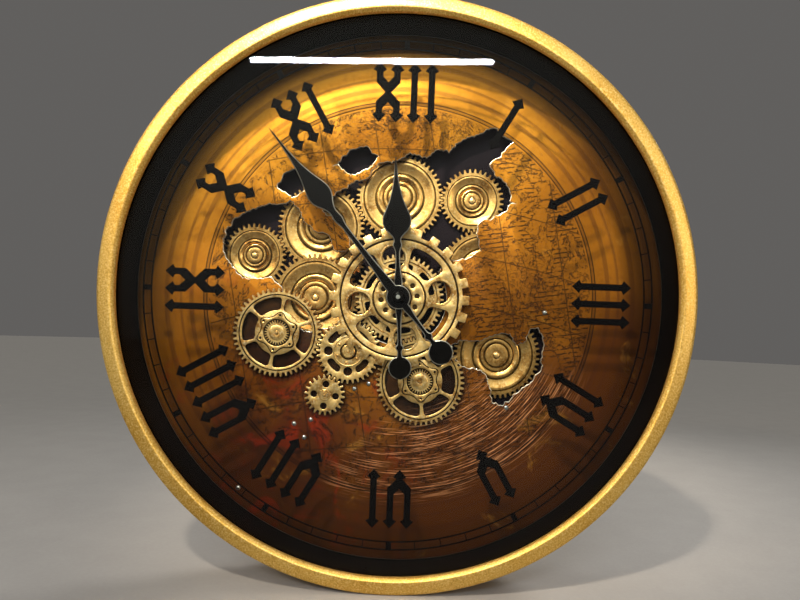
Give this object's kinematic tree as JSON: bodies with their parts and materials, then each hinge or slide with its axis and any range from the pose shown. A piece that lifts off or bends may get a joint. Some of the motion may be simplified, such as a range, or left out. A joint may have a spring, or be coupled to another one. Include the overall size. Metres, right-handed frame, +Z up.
{
  "type": "wall clock with turning gears",
  "caption": "Round metal wall clock: a battery motor turns a train of open gears behind a pierced dial, under Roman numerals on glass, with quartz hands.",
  "frame": {"origin": "the point on the wall plane where the nail carries the keyhole in the back cover", "axes": "+Z up, +Y into the wall, so the dial looks along -Y; +X to the right as the dial is read"},
  "size_m": [0.46, 0.08, 0.46],
  "materials": {
    "satin_gold": "satin gold lacquer over spun sheet",
    "clear_glass": "polished",
    "gloss_black": "gloss",
    "matt_black": "matt",
    "printed_bronze": "printed bronze colours, satin",
    "dark_backing": "dark matt paint",
    "moulded_back": "fine moulded texture",
    "bright_steel": "bright",
    "antique_gold": "antique plate, satin",
    "hand_black": "black enamel, bright cut edges"
  },
  "bodies": {
    "root": {"case_drum": "satin_gold", "front_bezel": "satin_gold", "glass": "clear_glass", "inner_liner": "gloss_black", "numeral_1": "matt_black", "numeral_2": "matt_black", "numeral_3": "matt_black", "numeral_4": "matt_black", "numeral_5": "matt_black", "numeral_6": "matt_black", "numeral_7": "matt_black", "numeral_8": "matt_black", "numeral_9": "matt_black", "numeral_10": "matt_black", "numeral_11": "matt_black", "numeral_12": "matt_black", "minute_track": "matt_black", "dial_plate": "printed_bronze", "gear_plate": "dark_backing", "back_cover": "moulded_back", "quartz_movement": "moulded_back", "gear_motor": "moulded_back", "battery_box": "moulded_back", "back_screw_1": "bright_steel", "back_screw_2": "bright_steel", "back_screw_3": "bright_steel", "back_screw_4": "bright_steel", "movement_battery": "bright_steel", "motor_battery_1": "bright_steel", "motor_battery_2": "bright_steel", "movement_nut": "antique_gold", "centre_nut": "antique_gold"},
    "centre_gears": {"centre_wheel": "antique_gold", "centre_drum_gear": "antique_gold"},
    "inner_left_gear": {"inner_left_gear": "antique_gold"},
    "motor_pinion": {"motor_pinion": "antique_gold"},
    "upper_left_gear": {"upper_left_gear": "antique_gold"},
    "far_left_gear": {"far_left_gear": "antique_gold"},
    "top_gear": {"top_gear": "antique_gold"},
    "upper_right_gear": {"upper_right_gear": "antique_gold"},
    "right_idler_gear": {"right_idler_gear": "antique_gold"},
    "lower_right_gear": {"lower_right_gear": "antique_gold"},
    "perforated_wheel": {"perforated_wheel": "antique_gold"},
    "left_spoked_wheel": {"left_spoked_wheel": "antique_gold"},
    "small_wheel": {"small_wheel": "antique_gold"},
    "bottom_spoked_wheel": {"bottom_spoked_wheel": "antique_gold"},
    "minute_hand": {"minute_hand": "hand_black", "minute_arbor": "antique_gold", "hand_cap": "hand_black"},
    "hour_hand": {"hour_hand": "hand_black", "hour_tube": "antique_gold"},
    "setting_knob": {"setting_knob": "moulded_back"},
    "battery_door": {"battery_door": "moulded_back"},
    "motor_switch": {"motor_switch": "bright_steel"}
  },
  "joints": [
    {"name": "centre_gears_turn", "type": "hinge", "parent": "root", "child": "centre_gears", "pos_m": [0, 0, -0.186], "axis": [0, 1, 0], "continuous": true},
    {"name": "inner_left_gear_turn", "type": "hinge", "parent": "root", "child": "inner_left_gear", "pos_m": [-0.07013, 0, -0.18784], "axis": [0, 1, 0], "continuous": true},
    {"name": "motor_pinion_turn", "type": "hinge", "parent": "root", "child": "motor_pinion", "pos_m": [-0.039, 0, -0.15941], "axis": [0, 1, 0], "continuous": true},
    {"name": "upper_left_gear_turn", "type": "hinge", "parent": "root", "child": "upper_left_gear", "pos_m": [-0.06801, 0, -0.12884], "axis": [0, 1, 0], "continuous": true},
    {"name": "far_left_gear_turn", "type": "hinge", "parent": "root", "child": "far_left_gear", "pos_m": [-0.1228, 0, -0.15415], "axis": [0, 1, 0], "continuous": true},
    {"name": "top_gear_turn", "type": "hinge", "parent": "root", "child": "top_gear", "pos_m": [-0.00344, 0, -0.10143], "axis": [0, 1, 0], "continuous": true},
    {"name": "upper_right_gear_turn", "type": "hinge", "parent": "root", "child": "upper_right_gear", "pos_m": [0.05691, 0, -0.10196], "axis": [0, 1, 0], "continuous": true},
    {"name": "right_idler_gear_turn", "type": "hinge", "parent": "root", "child": "right_idler_gear", "pos_m": [0.06873, 0, -0.16114], "axis": [0, 1, 0], "continuous": true},
    {"name": "lower_right_gear_turn", "type": "hinge", "parent": "root", "child": "lower_right_gear", "pos_m": [0.08248, 0, -0.22993], "axis": [0, 1, 0], "continuous": true},
    {"name": "perforated_wheel_turn", "type": "hinge", "parent": "root", "child": "perforated_wheel", "pos_m": [-0.04015, 0, -0.23106], "axis": [0, 1, 0], "continuous": true},
    {"name": "left_spoked_wheel_turn", "type": "hinge", "parent": "root", "child": "left_spoked_wheel", "pos_m": [-0.09903, 0, -0.21784], "axis": [0, 1, 0], "continuous": true},
    {"name": "small_wheel_turn", "type": "hinge", "parent": "root", "child": "small_wheel", "pos_m": [-0.05827, 0, -0.26756], "axis": [0, 1, 0], "continuous": true},
    {"name": "bottom_spoked_wheel_turn", "type": "hinge", "parent": "root", "child": "bottom_spoked_wheel", "pos_m": [0.01945, 0, -0.2534], "axis": [0, 1, 0], "continuous": true},
    {"name": "minute_hand_turn", "type": "hinge", "parent": "root", "child": "minute_hand", "pos_m": [0, 0, -0.186], "axis": [0, 1, 0], "continuous": true},
    {"name": "hour_hand_turn", "type": "hinge", "parent": "root", "child": "hour_hand", "pos_m": [0, 0, -0.186], "axis": [0, 1, 0], "continuous": true},
    {"name": "setting_knob_turn", "type": "hinge", "parent": "root", "child": "setting_knob", "pos_m": [0, 0, -0.203], "axis": [0, 1, 0], "continuous": true},
    {"name": "battery_door_hinge", "type": "hinge", "parent": "root", "child": "battery_door", "pos_m": [-0.074, -0.0034, -0.23725], "axis": [1, 0, 0], "range_deg": [0, 90]},
    {"name": "motor_switch_slide", "type": "slide", "parent": "root", "child": "motor_switch", "axis": [1, 0, 0], "range_m": [0, 0.004]}
  ],
  "couplings": [
    {"joint": "inner_left_gear_turn", "follows": "centre_gears_turn", "ratio": -1},
    {"joint": "motor_pinion_turn", "follows": "centre_gears_turn", "ratio": 5},
    {"joint": "upper_left_gear_turn", "follows": "centre_gears_turn", "ratio": -1},
    {"joint": "far_left_gear_turn", "follows": "centre_gears_turn", "ratio": 1.3889},
    {"joint": "top_gear_turn", "follows": "centre_gears_turn", "ratio": 1},
    {"joint": "upper_right_gear_turn", "follows": "centre_gears_turn", "ratio": -1.3889},
    {"joint": "right_idler_gear_turn", "follows": "centre_gears_turn", "ratio": 1},
    {"joint": "lower_right_gear_turn", "follows": "centre_gears_turn", "ratio": -1},
    {"joint": "perforated_wheel_turn", "follows": "centre_gears_turn", "ratio": -1.3889},
    {"joint": "left_spoked_wheel_turn", "follows": "centre_gears_turn", "ratio": 1},
    {"joint": "small_wheel_turn", "follows": "centre_gears_turn", "ratio": 2.2727},
    {"joint": "bottom_spoked_wheel_turn", "follows": "centre_gears_turn", "ratio": -1},
    {"joint": "hour_hand_turn", "follows": "minute_hand_turn", "ratio": 0.083333},
    {"joint": "setting_knob_turn", "follows": "minute_hand_turn", "ratio": -0.33333}
  ]
}
